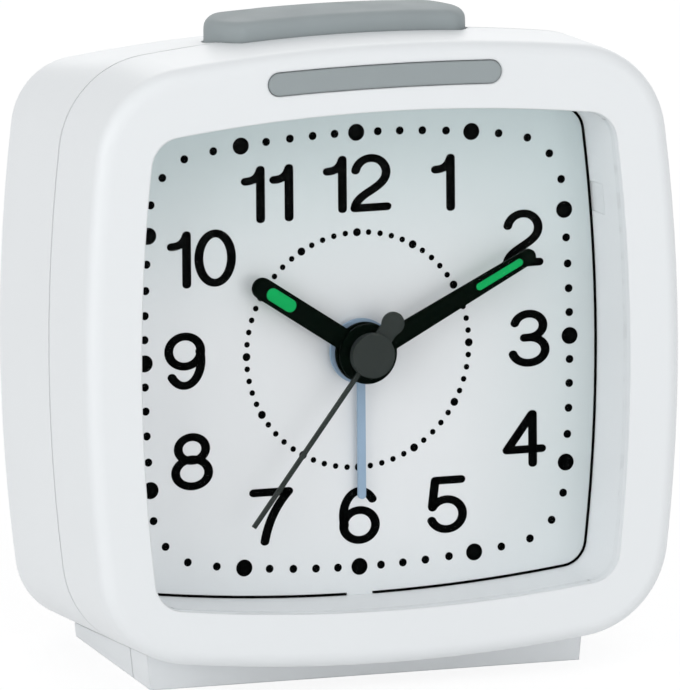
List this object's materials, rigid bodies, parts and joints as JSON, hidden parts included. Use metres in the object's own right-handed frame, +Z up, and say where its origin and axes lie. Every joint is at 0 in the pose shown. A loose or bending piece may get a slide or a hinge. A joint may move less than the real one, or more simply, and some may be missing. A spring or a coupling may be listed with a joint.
{
  "type": "alarm clock",
  "caption": "Bedside quartz alarm clock: soft square case leaning back on a low plinth, analogue dial with hour, minute, second and alarm hands, snooze bar on top.",
  "frame": {"origin": "centre of the plinth's underside, which rests on the table", "axes": "+Z up, +Y from the dial towards the back, +X to the right as seen from the front; the dial leans back 6 degrees"},
  "size_m": [0.0844, 0.048, 0.0878],
  "materials": {
    "case_white": "polished moulded plastic",
    "button_grey": "fine satin",
    "clear_lens": "clear polystyrene",
    "dial_silver": "fine matt silver print",
    "hand_black": "satin black",
    "lume_green": "luminous filling",
    "second_grey": "satin dark grey",
    "alarm_blue": "satin pale blue",
    "movement_plastic": "moulded",
    "wheel_plastic": "acetal",
    "magnet_dark": "bonded ferrite",
    "iron": "stamped",
    "copper_winding": "enamelled copper wire",
    "board_green": "laminate with mask",
    "black_plastic": "moulded",
    "crystal_can": "plated",
    "screw_steel": "zinc plated",
    "battery_can": "sleeved cell",
    "contact_metal": "nickel plated"
  },
  "bodies": {
    "case": {"front_housing": "case_white", "rear_housing": "case_white", "lens": "clear_lens", "front_inlay": "button_grey", "case_screws": "screw_steel", "dial_plate": "dial_silver", "snooze_leaf": "contact_metal", "movement_front_case": "movement_plastic", "movement_bridge": "movement_plastic", "movement_rear_cover": "movement_plastic", "coil_bobbin": "black_plastic", "coil_winding": "copper_winding", "stator": "iron", "circuit_board": "board_green", "clock_chip": "black_plastic", "quartz_crystal": "crystal_can", "buzzer": "black_plastic", "battery": "battery_can", "battery_contact_positive": "contact_metal", "battery_contact_negative": "contact_metal"},
    "second_body": {"seconds_wheel": "wheel_plastic", "second_hand": "second_grey"},
    "intermediate_body": {"intermediate_wheel": "wheel_plastic"},
    "rotor_body": {"rotor": "magnet_dark"},
    "third_body": {"third_wheel": "wheel_plastic"},
    "centre_body": {"centre_wheel": "wheel_plastic"},
    "minute_body": {"cannon_pinion": "wheel_plastic", "minute_hand": "hand_black", "minute_hand_lume": "lume_green"},
    "motion_body": {"minute_wheel": "wheel_plastic"},
    "hour_body": {"hour_wheel": "wheel_plastic", "hour_hand": "hand_black", "hour_hand_lume": "lume_green"},
    "time_set_body": {"time_set_pinion": "wheel_plastic", "time_set_knob": "case_white"},
    "alarm_body": {"alarm_wheel": "wheel_plastic", "alarm_hand": "alarm_blue"},
    "alarm_set_body": {"alarm_set_pinion": "wheel_plastic", "alarm_set_knob": "case_white"},
    "snooze_body": {"snooze_button": "button_grey"},
    "switch_body": {"alarm_switch": "button_grey"},
    "door_body": {"battery_door": "case_white"}
  },
  "joints": [
    {"name": "second_hand_spin", "type": "hinge", "parent": "case", "child": "second_body", "pos_m": [0, 0.00143, 0.04231], "axis": [0, 0.9945, -0.1045], "continuous": true},
    {"name": "intermediate_wheel_spin", "type": "hinge", "parent": "case", "child": "intermediate_body", "pos_m": [-0.00615, 0.00079, 0.03619], "axis": [0, 0.9945, -0.1045], "continuous": true},
    {"name": "rotor_spin", "type": "hinge", "parent": "case", "child": "rotor_body", "pos_m": [-0.00198, 0.00035, 0.03204], "axis": [0, 0.9945, -0.1045], "continuous": true},
    {"name": "third_wheel_spin", "type": "hinge", "parent": "case", "child": "third_body", "pos_m": [0, 0.00232, 0.05076], "axis": [0, 0.9945, -0.1045], "continuous": true},
    {"name": "centre_wheel_spin", "type": "hinge", "parent": "case", "child": "centre_body", "pos_m": [0, 0.00143, 0.04231], "axis": [0, 0.9945, -0.1045], "continuous": true},
    {"name": "minute_hand_spin", "type": "hinge", "parent": "case", "child": "minute_body", "pos_m": [0, 0.00143, 0.04231], "axis": [0, 0.9945, -0.1045], "continuous": true},
    {"name": "minute_wheel_spin", "type": "hinge", "parent": "case", "child": "motion_body", "pos_m": [0.00743, 0.0016, 0.04388], "axis": [0, 0.9945, -0.1045], "continuous": true},
    {"name": "hour_hand_spin", "type": "hinge", "parent": "case", "child": "hour_body", "pos_m": [0, 0.00143, 0.04231], "axis": [0, 0.9945, -0.1045], "continuous": true},
    {"name": "time_set_knob_spin", "type": "hinge", "parent": "case", "child": "time_set_body", "pos_m": [0.0135, 0.00112, 0.03933], "axis": [0, 0.9945, -0.1045], "continuous": true},
    {"name": "alarm_hand_spin", "type": "hinge", "parent": "case", "child": "alarm_body", "pos_m": [0, 0.00143, 0.04231], "axis": [0, 0.9945, -0.1045], "continuous": true},
    {"name": "alarm_set_knob_spin", "type": "hinge", "parent": "case", "child": "alarm_set_body", "pos_m": [-0.0135, 0.00112, 0.03933], "axis": [0, 0.9945, -0.1045], "continuous": true},
    {"name": "snooze_press", "type": "slide", "parent": "case", "child": "snooze_body", "axis": [0, -0.1045, -0.9945], "range_m": [0, 0.0015], "stiffness_N_per_m": 500, "springref_m": -0.001, "deforming": ["snooze_leaf"]},
    {"name": "alarm_switch_slide", "type": "slide", "parent": "case", "child": "switch_body", "axis": [1, 0, 0], "range_m": [0, 0.003]},
    {"name": "battery_door_hinge", "type": "hinge", "parent": "case", "child": "door_body", "pos_m": [0, 0.01736, 0.00735], "axis": [-1, 0, 0], "range_deg": [0, 100]}
  ],
  "couplings": [
    {"joint": "intermediate_wheel_spin", "follows": "second_hand_spin", "ratio": -5},
    {"joint": "rotor_spin", "follows": "second_hand_spin", "ratio": 30},
    {"joint": "third_wheel_spin", "follows": "second_hand_spin", "ratio": -0.13333},
    {"joint": "centre_wheel_spin", "follows": "second_hand_spin", "ratio": 0.016667},
    {"joint": "minute_wheel_spin", "follows": "minute_hand_spin", "ratio": -0.33333},
    {"joint": "hour_hand_spin", "follows": "minute_hand_spin", "ratio": 0.083333},
    {"joint": "time_set_knob_spin", "follows": "minute_hand_spin", "ratio": 1},
    {"joint": "alarm_set_knob_spin", "follows": "alarm_hand_spin", "ratio": -2}
  ]
}
